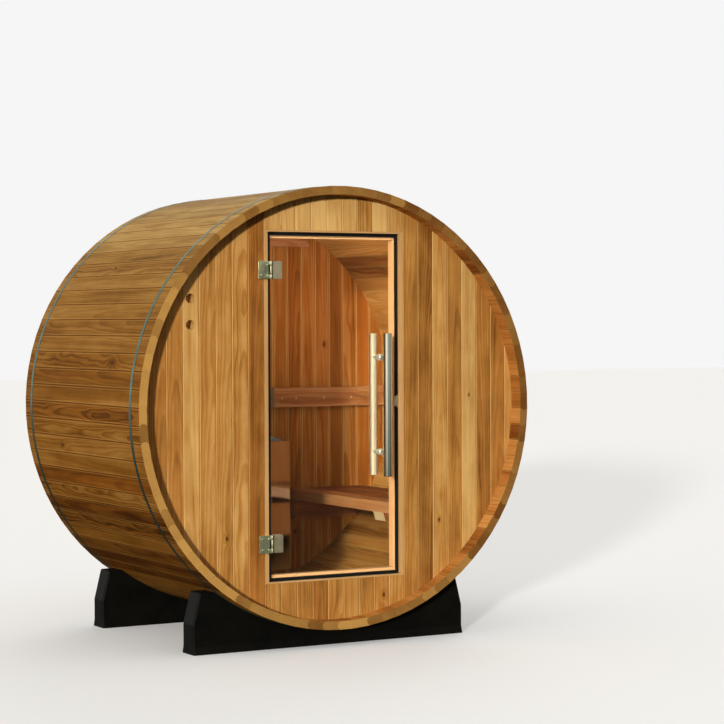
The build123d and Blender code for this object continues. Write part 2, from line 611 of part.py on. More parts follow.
def heater_stones():
    """Rocks laid in rows on the tray."""
    half = HEATER_WIDTH / 2 - HEATER_SHEET
    depth = HEATER_DEPTH - 2 * HEATER_SHEET
    floor = HEATER_TOP - HEATER_TRAY_DEPTH + SEAT_GAP
    height = HEATER_TRAY_DEPTH + STONE_RISE - SEAT_GAP
    stones = []
    for row in range(STONE_ROWS):
        for column in range(STONE_COLUMNS):
            x = -half + (column + 0.5) * 2 * half / STONE_COLUMNS
            y = HEATER_FRONT_Y + HEATER_SHEET + (row + 0.5) * depth / STONE_ROWS
            drop = ((column * 5 + row * 3) % 4) * 5.0
            stone = Box(STONE_SIZE, STONE_SIZE * 1.15, height - drop)
            stone = chamfer(stone.edges(), STONE_CHAMFER)
            stones.append(Pos(x, y, floor + (height - drop) / 2) * stone)
    return stones


def all_pieces():
    """Every named piece as a list of solids in the working frame."""
    pieces = {}
    pieces.update(stave_pieces())
    pieces.update(front_wall())
    pieces.update(rear_wall())
    doorway = {}
    doorway.update(door_frame())
    doorway.update(door_trim())
    doorway.update(door_pane())
    doorway["hinge_wall_leaves"] = [hinge_wall_leaf(HINGE_UPPER_Z), hinge_wall_leaf(HINGE_LOWER_Z)]
    doorway["hinge_glass_leaves"] = hinge_glass_leaf(HINGE_UPPER_Z) + hinge_glass_leaf(HINGE_LOWER_Z)
    doorway["handle_outside"] = [door_handle(-1)]
    doorway["handle_inside"] = [door_handle(1)]
    doorway["door_catch"] = [door_catch()]
    for name, shapes in doorway.items():
        pieces[name] = in_doorway(shapes)
    pieces["band_front"] = [strap_band(BAND_FRONT_INSET)]
    pieces["band_rear"] = [strap_band(BARREL_LENGTH - BAND_REAR_INSET)]
    pieces["cradle_front"] = [cradle(CRADLE_FRONT_Y)]
    pieces["cradle_rear"] = [cradle(CRADLE_REAR_Y)]
    slats, cleats, ledgers = bench_side()
    pieces["bench_slats_right"] = slats
    pieces["bench_slats_left"] = mirrored(slats)
    pieces["bench_supports_right"] = cleats + ledgers
    pieces["bench_supports_left"] = mirrored(cleats + ledgers)
    pieces["rear_battens"] = rear_battens()
    pieces["heater_case"] = [heater_case()]
    pieces["heater_stones"] = heater_stones()
    return pieces


os.makedirs("parts", exist_ok=True)
for name, solids in all_pieces().items():
    flat = [solid for shape in solids for solid in shape.solids()]
    placed = [Pos(0, -MIDDLE_Y, AXIS_HEIGHT) * solid for solid in flat]
    shape = placed[0] if len(placed) == 1 else Compound(children=placed)
    export_step(shape, "parts/%s.step" % name)
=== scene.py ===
"""Looks of the barrel sauna: cedar with grain, glass door, steel, moulded cradles, heater with stones."""
import json
import math
import random

import bmesh
import bpy
from mathutils import Matrix, Vector, noise


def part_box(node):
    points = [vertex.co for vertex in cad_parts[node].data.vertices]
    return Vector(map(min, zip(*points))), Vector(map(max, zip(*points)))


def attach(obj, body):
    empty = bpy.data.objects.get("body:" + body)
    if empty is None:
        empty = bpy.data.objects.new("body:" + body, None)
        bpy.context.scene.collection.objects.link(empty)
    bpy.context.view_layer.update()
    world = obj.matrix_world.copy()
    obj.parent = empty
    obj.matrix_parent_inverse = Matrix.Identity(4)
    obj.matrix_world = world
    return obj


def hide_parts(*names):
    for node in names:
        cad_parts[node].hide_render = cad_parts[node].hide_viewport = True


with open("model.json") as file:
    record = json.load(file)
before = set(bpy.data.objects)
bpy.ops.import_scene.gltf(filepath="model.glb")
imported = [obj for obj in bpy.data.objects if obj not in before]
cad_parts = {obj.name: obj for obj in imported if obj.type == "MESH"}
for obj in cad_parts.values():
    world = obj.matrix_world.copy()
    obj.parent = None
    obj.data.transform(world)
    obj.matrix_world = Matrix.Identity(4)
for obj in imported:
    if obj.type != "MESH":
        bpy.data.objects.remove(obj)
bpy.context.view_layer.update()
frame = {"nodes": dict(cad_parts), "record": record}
NODES = frame["nodes"]
SLOT_OF = {part["node"]: part["material_slot"] for part in frame["record"]["subparts"]}

# Barrel, in metres and radians. Staves are counted clockwise from the top, seen from the front.
BARREL_RADIUS = 0.9144
AXIS_Z = 0.985
STAVES = 80
STAVE_PITCH = math.radians(360 / STAVES)
STAVE_START = math.radians(-1.0)

# End walls. Boards are counted from the middle, and those of the front wall lie a little to the right.
BOARD_PITCH = 0.073
FRONT_OFFSET = 0.003
WALL_FACE_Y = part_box("front_wall_left")[0].y

# Door. The standoffs of the handles reach this far from the middle of the pane.
HINGE_AXIS_X = frame["record"]["behaviour"]["joints"][0]["pos_m"][0]
KNUCKLE_RADIUS = 0.007
PANE_Y = sum(corner.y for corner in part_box("door_glass")) / 2
STANDOFF_REACH = 0.0445

# Screws: those of a hinge's wall leaf, from the hinge's middle, and those of the lower rear batten
HINGE_HALF_SPACING = 0.55945
LEAF_THICKNESS = 0.008
LEAF_SCREWS_X = (-0.0448, -0.0168)
LEAF_SCREWS_Z = (-0.022, 0.022)
LEAF_SCREW_RADIUS = 0.0042
BATTEN_SCREWS_X = (0.281, 0.353, 0.500, 0.645)
BATTEN_SCREWS_Z = AXIS_Z + 0.003
BATTEN_SCREW_RADIUS = 0.0032

# Heater stones: half widths in metres, and the flat share of the heap with the fall of its ends
ROCK_SIZES = (0.021, 0.028)
ROCK_COLUMNS = 7
ROCK_ROWS = 4
HEAP_FLAT = 0.6
HEAP_FALL = 0.014

# Strength of the world, as seen by matt surfaces, by the camera and in mirrors
ROOM = 0.28
BACKDROP = 0.92
MIRROR_FRONT = 0.56
MIRROR_SIDE = 1.4

# Floor, with the strength of its own glow
FLOOR_SIZE = 80
FLOOR_Z = -0.0005
FLOOR_LIFT = 0.2

# Flat lamps in the cabin
PANEL_WIDTH = 0.5
PANEL_HEIGHT = 0.7

# Camera: focal length and film width in millimetres, place in metres, turns in degrees
CAMERA_LENS = 109.38
CAMERA_FILM = 36
CAMERA_PLACE = (-4.41674, -8.51435, 1.34433)
CAMERA_TURNS = (88.9249, 0.2165, -29.7052)

WHITE = (1.0, 1.0, 1.0, 1.0)


def rgb(r, g, b):
    """Colour written as 0 to 255 values, turned into Blender's linear ones."""
    def lin(v):
        v = v / 255
        return v / 12.92 if v <= 0.04045 else ((v + 0.055) / 1.055) ** 2.4
    return (lin(r), lin(g), lin(b), 1.0)


class Graph:
    """Small helper for the nodes of a material or world. Inputs are numbers, colours or sockets."""

    def __init__(self, name, world=False):
        self.owner = (bpy.data.worlds if world else bpy.data.materials).new(name)
        self.owner.use_nodes = True
        self.tree = self.owner.node_tree
        self.tree.nodes.clear()
        self.out = self.node("OutputWorld" if world else "OutputMaterial")

    def node(self, kind, **settings):
        made = self.tree.nodes.new("ShaderNode" + kind)
        for key, value in settings.items():
            setattr(made, key, value)
        return made

    def put(self, socket, value):
        if isinstance(value, bpy.types.NodeSocket):
            self.tree.links.new(value, socket)
        elif value is not None:
            socket.default_value = value

    def fill(self, made, *values):
        """Gives a node's first inputs their values, and returns its first output."""
        for socket, value in zip(made.inputs, values):
            self.put(socket, value)
        return made.outputs[0]

    def attribute(self, name):
        return self.node("Attribute", attribute_name=name, attribute_type="GEOMETRY").outputs["Vector"]

    def object_place(self):
        return self.node("TexCoord").outputs["Object"]

    def math(self, operation, a, b=None, c=None):
        return self.fill(self.node("Math", operation=operation), a, b, c)

    def add(self, a, b):
        return self.math("ADD", a, b)

    def minus(self, a, b):
        return self.math("SUBTRACT", a, b)

    def times(self, a, b):
        return self.math("MULTIPLY", a, b)

    def sway(self, value, amount, centre=0.5):
        """What a noise adds: nothing at its centre, and up to half the amount each way."""
        return self.times(self.minus(value, centre), amount)

    def vector(self, operation, a, b=None):
        made = self.node("VectorMath", operation=operation)
        self.fill(made, a, b)
        return made.outputs["Value" if operation in ("LENGTH", "DOT_PRODUCT") else "Vector"]

    def split(self, vector):
        made = self.node("SeparateXYZ")
        self.put(made.inputs[0], vector)
        return made.outputs

    def join(self, x, y, z):
        return self.fill(self.node("CombineXYZ"), x, y, z)

    def noise(self, vector, scale=1.0, detail=2.0, rough=0.5, distortion=0.0):
        made = self.node("TexNoise", noise_dimensions="3D")
        self.put(made.inputs["Vector"], vector)
        self.put(made.inputs["Scale"], scale)
        self.put(made.inputs["Detail"], detail)
        self.put(made.inputs["Roughness"], rough)
        self.put(made.inputs["Distortion"], distortion)
        return made.outputs[0]

    def span(self, value, low, high, to_low=0.0, to_high=1.0, smooth=False):
        made = self.node("MapRange", interpolation_type="SMOOTHSTEP" if smooth else "LINEAR")
        return self.fill(made, value, low, high, to_low, to_high)

    def mix(self, factor, a, b, blend="MIX"):
        made = self.node("Mix", data_type="RGBA", blend_type=blend)
        self.put(made.inputs[0], factor)
        self.put(made.inputs[6], a)
        self.put(made.inputs[7], b)
        return made.outputs[2]

    def ramp(self, factor, places, colours):
        made = self.node("ValToRGB")
        elements = made.color_ramp.elements
        while len(elements) < len(places):
            elements.new(0.5)
        for element, place, colour in zip(elements, places, colours):
            element.position = place
            element.color = colour
        return self.fill(made, factor)

    def bump(self, height, distance, strength=1.0):
        made = self.node("Bump")
        self.put(made.inputs["Height"], height)
        self.put(made.inputs["Distance"], distance)
        self.put(made.inputs["Strength"], strength)
        return made.outputs[0]

    def principled(self, **inputs):
        made = self.node("BsdfPrincipled")
        for key, value in inputs.items():
            self.put(made.inputs[key.replace("_", " ")], value)
        return made.outputs[0]

    def shader_mix(self, factor, a, b):
        return self.fill(self.node("MixShader"), factor, a, b)

    def finish(self, shader):
        self.put(self.out.inputs[0], shader)
        return self.owner


# Wood. Every board carries its own coordinates: grain (across, through, along, from the heart of the rings),
# tone (lightness, redness, figure), knot (across, along, size, from the board's knot), place (across, half
# the board's width, along, from its middle) and cut (end grain, lightness of the end, lightness of a stave's
# inner face, which is 0 on all other faces).

WEATHERED = (rgb(84, 60, 26), rgb(144, 112, 58), rgb(190, 158, 94))
KNOT_DARK = rgb(38, 18, 9)
KNOT_LIGHT = rgb(104, 58, 30)


def stretched(g, grain, scales, detail, rough=0.5):
    """Noise in a board's own coordinates, with a scale for each direction: across, through and along."""
    return g.noise(g.vector("MULTIPLY", grain, scales), detail=detail, rough=rough)


def ring_radius(g, grain, figure, knot_size, knot_far):
    """Distance from the heart of the rings, bent by slow waves, by a taper and round the knot."""
    across, through, along = g.split(grain)
    wild = g.times(figure, figure)
    waves = stretched(g, grain, (7.0, 7.0, 2.6), 2.0)
    ripples = stretched(g, grain, (30.0, 30.0, 9.0), 1.0)
    knot_pull = g.math("EXPONENT", g.times(g.math("POWER", g.times(knot_far, 0.5), 2.0), -1.0))
    bend = g.sway(waves, g.math("MULTIPLY_ADD", wild, 0.05, 0.008))
    bend = g.add(bend, g.sway(ripples, g.times(wild, 0.012)))
    bend = g.add(bend, g.times(knot_pull, g.times(knot_size, 2.2)))
    radius = g.add(g.vector("LENGTH", g.join(across, through, 0.0)), bend)
    return g.add(radius, g.times(along, 0.011))


def late_wood(g, radius, ring, rise, fall):
    """Dark outer part of the yearly rings: 0 in pale wood, 1 in dark."""
    phase = g.math("FRACT", g.math("DIVIDE", radius, ring))
    return g.times(g.span(phase, *rise, smooth=True), g.span(phase, *fall, 1.0, 0.0))


def cedar(name, tones, red, ends, seam, inner=None, rough=0.5, shine=0.35, ring=0.0045, spread=1.0,
          mottle=0.35, joint=0.8, shoulder=1.0, core_edge=(0.0012, 0.0030), pale_edge_span=(0.0028, 0.0075)):
    """Cedar of one kind.

    tones, ends and inner are the colours of faces, end grain and inner faces, from dark to light, and red
    tints the redder boards. spread and mottle are the contrast of streaks and clouds, and ring is the width
    of a yearly ring. joint is how far the colour of the seam fills the joints, over core_edge, and shoulder
    how pale the edges beside them are, over pale_edge_span, both in metres from the edge: partly paler
    eased wood, partly painted highlight.
    """
    g = Graph(name)
    dark, _, light = tones
    grain = g.attribute("grain")
    lightness, redness, figure = g.split(g.attribute("tone"))
    knot_across, knot_along, knot_size = g.split(g.attribute("knot"))
    is_end, end_light, inner_light = g.split(g.attribute("cut"))
    across, half, _ = g.split(g.attribute("place"))

    # Rings round the heart and round the knot
    knot_way = g.vector("LENGTH", g.join(knot_across, g.times(knot_along, 0.55), 0.0))
    knot_far = g.math("DIVIDE", knot_way, g.math("MAXIMUM", knot_size, 0.0001))
    radius = ring_radius(g, grain, figure, knot_size, knot_far)
    late = late_wood(g, radius, ring, (0.35, 0.85), (0.93, 1.0))
    late_wide = late_wood(g, radius, ring * 3.7, (0.2, 0.8), (0.85, 1.0))

    # Fibres, streaks and bands run along the board, and clouds lie over them
    fibre = stretched(g, grain, (620.0, 620.0, 11.0), 3.0, 0.6)
    streak = stretched(g, grain, (85.0, 40.0, 1.5), 3.0, 0.55)
    band = stretched(g, grain, (26.0, 12.0, 1.1), 2.0)
    cloud = stretched(g, grain, (9.0, 9.0, 4.0), 3.0, 0.6)
    contrast = g.math("MULTIPLY_ADD", figure, 0.36, 0.04)
    level = lightness
    for part, amount in ((streak, 0.55 * spread), (band, 0.75 * spread), (cloud, mottle), (fibre, 0.22)):
        level = g.add(level, g.sway(part, amount))
    level = g.minus(level, g.times(late, contrast))
    level = g.minus(level, g.times(late_wide, g.times(contrast, 0.5)))
    level = g.add(level, g.times(contrast, 0.33))

    # Colour of the faces: redder or weathered by the board, darker at its knot
    side = g.ramp(level, (0.0, 0.45, 1.0), tones)
    red_share = g.add(redness, g.sway(band, 0.9, 0.52))
    side = g.mix(g.span(red_share, 0.25, 1.2, 0.0, 0.85), side, red, "MULTIPLY")
    weathered = g.ramp(level, (0.0, 0.5, 1.0), WEATHERED)
    side = g.mix(g.span(redness, -1.0, 0.0, 0.9, 0.0), side, weathered)
    core = g.span(knot_far, 0.55, 1.0, 1.0, 0.0, smooth=True)
    halo = g.span(knot_far, 0.8, 2.6, 0.45, 0.0, smooth=True)
    side = g.mix(halo, side, dark)
    speckle = g.noise(g.join(g.times(knot_across, 900.0), g.times(knot_along, 700.0), 0.0))
    side = g.mix(core, side, g.mix(speckle, KNOT_DARK, KNOT_LIGHT))

    # Dust and painted shade in the joints, and a paler line beside them: partly paler eased wood, partly
    # painted highlight
    edge = g.minus(half, g.math("ABSOLUTE", across))
    near, far = pale_edge_span
    groove = g.span(edge, *core_edge, 1.0, 0.0, smooth=True)
    pale_edge_and_highlight = g.times(g.span(edge, near, near * 1.4, smooth=True),
                     g.span(edge, (near + far) / 2, far, 1.0, 0.0))
    if inner:
        inner_level = g.add(inner_light, g.times(g.minus(level, lightness), 0.8))
        side = g.mix(g.span(inner_light, 0.01, 0.02), side, g.ramp(inner_level, (0.0, 0.5, 1.0), inner))
    side = g.mix(g.times(pale_edge_and_highlight, 0.5 * shoulder), side, light)
    side = g.mix(g.times(groove, joint), side, seam)

    # End grain: rings cut across, with fine pores
    pores = stretched(g, grain, (1500.0, 1500.0, 20.0), 2.0)
    end_level = g.add(end_light, g.sway(pores, 0.35))
    end_level = g.minus(end_level, g.times(late, 0.22))
    end_level = g.add(end_level, g.sway(cloud, 0.5))
    colour = g.mix(is_end, side, g.ramp(end_level, (0.0, 1.0), ends))

    height = g.add(g.times(fibre, 0.6), g.times(late, -0.4))
    height = g.minus(height, g.times(core, 0.8))
    height = g.add(height, g.times(pores, is_end))
    return g.finish(g.principled(
        Base_Color=colour,
        Roughness=g.add(g.times(fibre, 0.18), g.math("MULTIPLY_ADD", is_end, 0.12, rough - 0.09)),
        Specular_IOR_Level=shine,
        Normal=g.bump(height, 0.0004, 0.7)))


def plain(name, colour, other, scale, rough, rough_swing, bump, bump_scale=None, metallic=0.0, specular=0.5,
          stretch=(1, 1, 1)):
    """Metal, plastic, rubber: two close colours, uneven shine and a fine surface."""
    g = Graph(name)
    place = g.vector("MULTIPLY", g.object_place(), stretch)
    cloud = g.noise(place, scale, 4.0, 0.6)
    fine = g.noise(place, bump_scale or scale * 12, 2.0, 0.6)
    return g.finish(g.principled(
        Base_Color=g.mix(g.span(cloud, 0.35, 0.65), colour, other),
        Metallic=metallic,
        Roughness=g.span(g.add(g.times(cloud, 0.6), g.times(fine, 0.4)),
                         0.3, 0.7, rough - rough_swing / 2, rough + rough_swing / 2),
        Specular_IOR_Level=specular,
        Normal=g.bump(fine, bump, 0.6)))


def hinge_metal():
    """Satin steel, darker and greener on the wall side of the hinges than on the glass side, a painted
    reflection, and darker on their knuckles.
    """
    g = Graph("hinge_steel")
    place = g.object_place()
    x = g.split(place)[0]
    brushed = g.noise(g.vector("MULTIPLY", place, (1, 1, 0.15)), 700.0, 2.0, 0.6)
    cloud = g.noise(place, 40.0, 3.0, 0.6)
    knuckle_edge = HINGE_AXIS_X + KNUCKLE_RADIUS
    glass_side = g.span(x, knuckle_edge - 0.001, knuckle_edge + 0.002)
    from_axis = g.math("ABSOLUTE", g.minus(x, HINGE_AXIS_X))
    knuckle = g.span(from_axis, KNUCKLE_RADIUS - 0.0002, KNUCKLE_RADIUS + 0.0002, 1.0, 0.0)
    # The greener wall side is painted reflection
    colour = g.mix(glass_side, rgb(214, 218, 172), rgb(250, 232, 188))
    colour = g.mix(knuckle, colour, rgb(140, 138, 112))
    colour = g.mix(g.span(cloud, 0.35, 0.65, 0.0, 0.3), colour, rgb(150, 150, 118))
    return g.finish(g.principled(
        Base_Color=colour, Metallic=1.0, Roughness=g.span(brushed, 0.3, 0.7, 0.34, 0.46),
        Normal=g.bump(brushed, 0.00005, 0.6)))


def handle_metal():
    """Polished tube outside, tinted warm; a satin, tan twin behind the pane; pale matt standoffs.
    The warm and tan tints are painted reflection, the pale standoffs painted light.
    """
    g = Graph("handle_chrome")
    place = g.object_place()
    y = g.split(place)[1]
    brushed = g.noise(g.vector("MULTIPLY", place, (1, 1, 0.1)), 700.0, 2.0, 0.6)
    indoors = g.span(y, PANE_Y - 0.004, PANE_Y + 0.004)
    from_pane = g.math("ABSOLUTE", g.minus(y, PANE_Y))
    standoff = g.span(from_pane, STANDOFF_REACH - 0.002, STANDOFF_REACH, 1.0, 0.0)
    # Warm tint outside and tan behind the pane: painted reflection; pale standoffs: painted light
    colour = g.mix(indoors, rgb(222, 218, 190), rgb(200, 168, 138))
    colour = g.mix(standoff, colour, rgb(248, 244, 226))
    rough = g.add(g.span(brushed, 0.3, 0.7, 0.04, 0.08), g.times(indoors, 0.57))
    rough = g.math("MAXIMUM", rough, g.times(standoff, 0.5))
    return g.finish(g.principled(
        Base_Color=colour, Metallic=1.0, Roughness=rough, Normal=g.bump(brushed, 0.00001, 0.5)))


def glass():
    """Toughened pane: clear, faintly green, lets lamps light the room behind it."""
    g = Graph("clear_glass")
    smear = g.noise(g.object_place(), 7.0, 3.0, 0.6)
    pane = g.principled(
        Base_Color=rgb(245, 250, 247), Roughness=g.span(smear, 0.5, 0.8, 0.0, 0.02),
        Transmission_Weight=1.0, IOR=1.14)
    clear = g.fill(g.node("BsdfTransparent"), rgb(244, 250, 246))
    return g.finish(g.shader_mix(g.node("LightPath").outputs["Is Shadow Ray"], pane, clear))


def stone():
    """Rough grey rock with grains and soft veins."""
    g = Graph("heater_stone")
    place = g.object_place()
    grains = g.noise(place, 160.0, 4.0, 0.7)
    veins = g.noise(place, 28.0, 3.0, 0.6, 1.2)
    colour = g.ramp(g.add(g.times(grains, 0.6), g.times(veins, 0.4)), (0.3, 0.5, 0.7),
                    (rgb(88, 92, 90), rgb(150, 154, 148), rgb(204, 206, 198)))
    return g.finish(g.principled(
        Base_Color=colour, Roughness=g.span(grains, 0.3, 0.7, 0.75, 0.95),
        Normal=g.bump(grains, 0.002, 0.8)))


# Materials by the record's slot: those of the boards, and all others
WOOD = {
    "stave_cedar": cedar(
        "stave_cedar",
        tones=(rgb(74, 40, 8), rgb(140, 90, 30), rgb(192, 144, 74)), red=rgb(255, 204, 150),
        ends=(rgb(106, 62, 20), rgb(208, 158, 84)), seam=rgb(96, 50, 12),
        inner=(rgb(122, 66, 22), rgb(186, 118, 52), rgb(226, 164, 90)),
        rough=0.65, shine=0.05, ring=0.0052, spread=0.8, mottle=0.45, joint=0.85),
    "front_cedar": cedar(
        "front_cedar",
        tones=(rgb(124, 74, 24), rgb(188, 130, 60), rgb(236, 188, 114)), red=rgb(255, 200, 150),
        ends=(rgb(150, 98, 50), rgb(216, 174, 112)), seam=rgb(78, 42, 14),
        rough=0.55, shine=0.16, ring=0.0048, spread=0.7, mottle=0.75, joint=0.55,
        core_edge=(0.0004, 0.0012), pale_edge_span=(0.0010, 0.0036)),
    # Deep, saturated red-orange, partly painted warm light inside the cabin
    "rear_cedar": cedar(
        "rear_cedar",
        tones=(rgb(98, 46, 8), rgb(172, 96, 30), rgb(230, 164, 88)), red=rgb(255, 188, 122),
        ends=(rgb(150, 96, 52), rgb(220, 176, 120)), seam=rgb(60, 24, 8),
        rough=0.6, shine=0.06, ring=0.0048, spread=0.8, shoulder=1.6,
        core_edge=(0.0006, 0.0016), pale_edge_span=(0.0014, 0.0064)),
    "trim_cedar": cedar(
        "trim_cedar",
        tones=(rgb(164, 118, 66), rgb(212, 164, 104), rgb(244, 208, 162)), red=rgb(255, 200, 164),
        ends=(rgb(160, 110, 60), rgb(226, 186, 130)), seam=rgb(90, 50, 20),
        shine=0.2, ring=0.004, spread=0.7, joint=0.0, shoulder=0.0),
    "bench_cedar": cedar(
        "bench_cedar",
        tones=(rgb(108, 56, 22), rgb(170, 104, 56), rgb(220, 164, 110)), red=rgb(255, 184, 136),
        ends=(rgb(176, 120, 74), rgb(240, 204, 154)), seam=rgb(70, 34, 14),
        shine=0.1, joint=0.0, shoulder=0.3),
}
OTHER = {
    "black_rubber": plain(
        "black_rubber", rgb(12, 14, 11), rgb(22, 24, 19), scale=60, rough=0.6, rough_swing=0.15,
        bump=0.0002, specular=0.3),
    "clear_glass": glass(),
    "hinge_steel": hinge_metal(),
    "handle_chrome": handle_metal(),
    # Teal tint of the steel bands: painted reflection of green surroundings
    "band_steel": plain(
        "band_steel", rgb(94, 128, 112), rgb(70, 98, 84), scale=16, rough=0.4, rough_swing=0.2,
        bump=0.00006, bump_scale=600, metallic=0.9, stretch=(1, 3, 1)),
    "cradle_plastic": plain(
        "cradle_plastic", rgb(10, 10, 8), rgb(17, 16, 12), scale=9, rough=0.5, rough_swing=0.14,
        bump=0.0003, bump_scale=750, specular=0.06),
    "heater_steel": plain(
        "heater_steel", rgb(206, 202, 194), rgb(192, 188, 180), scale=9, rough=0.07, rough_swing=0.04,
        bump=0.00001, bump_scale=500, metallic=1.0, stretch=(1, 1, 0.15)),
    "heater_stone": stone(),
}


# Meshes

def eased_copy(node, width, segments, bend):
    """Shape of a CAD node, with the edges that bend by more than some degrees rounded."""
    bm = bmesh.new()
    bm.from_mesh(NODES[node].data)
    bmesh.ops.remove_doubles(bm, verts=bm.verts, dist=0.00002)
    bmesh.ops.dissolve_limit(bm, angle_limit=math.radians(0.5), verts=bm.verts, edges=bm.edges)
    sharp = [e for e in bm.edges if len(e.link_faces) == 2 and e.calc_face_angle(0) > math.radians(bend)]
    bmesh.ops.bevel(bm, geom=sharp, offset=width, offset_type="OFFSET", segments=segments, profile=0.5,
                    affect="EDGES", clamp_overlap=True)
    return bm


def piece_of(bm, name, material):
    """Object in the scene made from a finished shape."""
    mesh = bpy.data.meshes.new(name)
    bm.to_mesh(mesh)
    bm.free()
    mesh.materials.append(material)
    piece = bpy.data.objects.new(name, mesh)
    bpy.context.scene.collection.objects.link(piece)
    return piece


def islands(bm):
    """Lists of vertices that hang together."""
    seen = set()
    groups = []
    for start in bm.verts:
        if start.index in seen:
            continue
        stack, group = [start], []
        seen.add(start.index)
        while stack:
            v = stack.pop()
            group.append(v)
            for edge in v.link_edges:
                other = edge.other_vert(v)
                if other.index not in seen:
                    seen.add(other.index)
                    stack.append(other)
        groups.append(group)
    return groups


def middle(points):
    """Middle and size of the upright box round some points."""
    lo = Vector([min(p[i] for p in points) for i in range(3)])
    hi = Vector([max(p[i] for p in points) for i in range(3)])
    return (lo + hi) / 2, hi - lo


# Boards: copies of the CAD boards with eased edges and their own grain

def is_stave(node):
    return node.startswith("staves")


def is_wall(node):
    return "wall" in node or node == "vent_board"


def stave_angle(number):
    """Angle of a stave's middle, from the top."""
    return STAVE_START + number * STAVE_PITCH


def board_axes(node, points):
    """Across, through and along directions of one board, and its number."""
    centre, size = middle(points)
    if is_stave(node):
        angle = math.atan2(centre.x, centre.z - AXIS_Z)
        number = round((angle - STAVE_START) / STAVE_PITCH) % STAVES
        angle = stave_angle(number)
        out = Vector((math.sin(angle), 0, math.cos(angle)))
        return (out.cross(Vector((0, 1, 0))), out, Vector((0, 1, 0))), number
    thin, broad, long = sorted(range(3), key=lambda i: size[i])
    unit = [Vector((1, 0, 0)), Vector((0, 1, 0)), Vector((0, 0, 1))]
    number = round(centre.x / BOARD_PITCH)
    return (unit[broad], unit[thin], unit[long]), number


def board_centre(node, number, centre):
    """Middle of a board, counted from its joints and not from the bead or tongue that stands out."""
    if is_stave(node):
        angle = stave_angle(number)
        far = math.hypot(centre.x, centre.z - AXIS_Z)
        return Vector((far * math.sin(angle), centre.y, AXIS_Z + far * math.cos(angle)))
    if is_wall(node):
        shift = 0.0 if node.startswith("rear") else FRONT_OFFSET
        return Vector((number * BOARD_PITCH + shift, centre.y, centre.z))
    return centre


def half_width(node, points, centre, across):
    """From a board's middle to its joint, or to its edge where it has no joint."""
    if is_stave(node):
        return BARREL_RADIUS * math.sin(STAVE_PITCH / 2)
    if is_wall(node):
        return BOARD_PITCH / 2
    return max(abs((p - centre).dot(across)) for p in points)


# Staves with end grain or an inner face darker or paler than the others, by the lightness and their number
END_SHADES = {
    0.2: (5, 6, 7, 10, 11, 13, 14, 17, 18, 19, 20, 22, 27, 29, 30, 42),
    0.62: (4, 31, 32, 34, 41, 43, 44, 45, 46, 54, 65, 68, 72, 73, 75),
    0.9: (39, 40, 48, 49, 50, 51, 52, 53, 55, 56, 57, 58, 60, 61, 62, 63, 64, 66, 67),
}
# The dark inner faces of staves 29 and 30, under the right bench, are partly painted shade
INNER_SHADES = {
    0.15: (10, 22, 29),
    0.3: (11, 30),
    0.7: (8, 9, 13, 21, 23, 24, 26, 28),
}

# Bench supports with their middle beyond this, near the rear wall, get dark ends: painted shade
SHADED_SUPPORT_Y = 0.3
PAINTED_SHADE_SUPPORT_END = 0.1

# A knot far off the board
NO_KNOT = (0.0, 9.0, 0.001)


def shade_of(number, shades, usual):
    """Lightness that a table gives for a stave, or the usual one."""
    for shade, numbers in shades.items():
        if number in numbers:
            return shade
    return usual


def board_look(node, number, centre, tones, mean, swing, end_mean):
    """A board's place from the heart of its rings, its tone, and how light its end and inner face are."""
    rng = random.Random("%s %d %d" % (node.split("_")[0], number, round(centre.z * 10)))
    heart_x = rng.uniform(-0.05, 0.05)
    heart_y = rng.choice((-1, 1)) * rng.uniform(0.05, 0.16)
    heart = Vector((heart_x, heart_y, rng.uniform(5, 60)))
    tone = [mean[i] + swing[i] * rng.uniform(-1, 1) for i in range(3)]
    end_light = min(1.0, max(0.0, end_mean + rng.uniform(-0.3, 0.3)))
    inner_light = 0.0
    if is_stave(node):
        # Staves near the top are paler and weathered: partly weathering, partly painted light from above
        up = max(0.0, math.cos(stave_angle(number)))
        tone[0] += 0.25 * up
        tone[1] -= 1.15 * up
        end_light = shade_of(number, END_SHADES, 0.4) + rng.uniform(-0.05, 0.05)
        inner_light = shade_of(number, INNER_SHADES, 0.48) + rng.uniform(-0.14, 0.14)
    # Painted shade on the ends of the supports near the rear wall
    if node.startswith("bench_supports") and centre.y > SHADED_SUPPORT_Y:
        end_light = PAINTED_SHADE_SUPPORT_END
    return heart, Vector(tones.get(number, tone)), end_light, inner_light


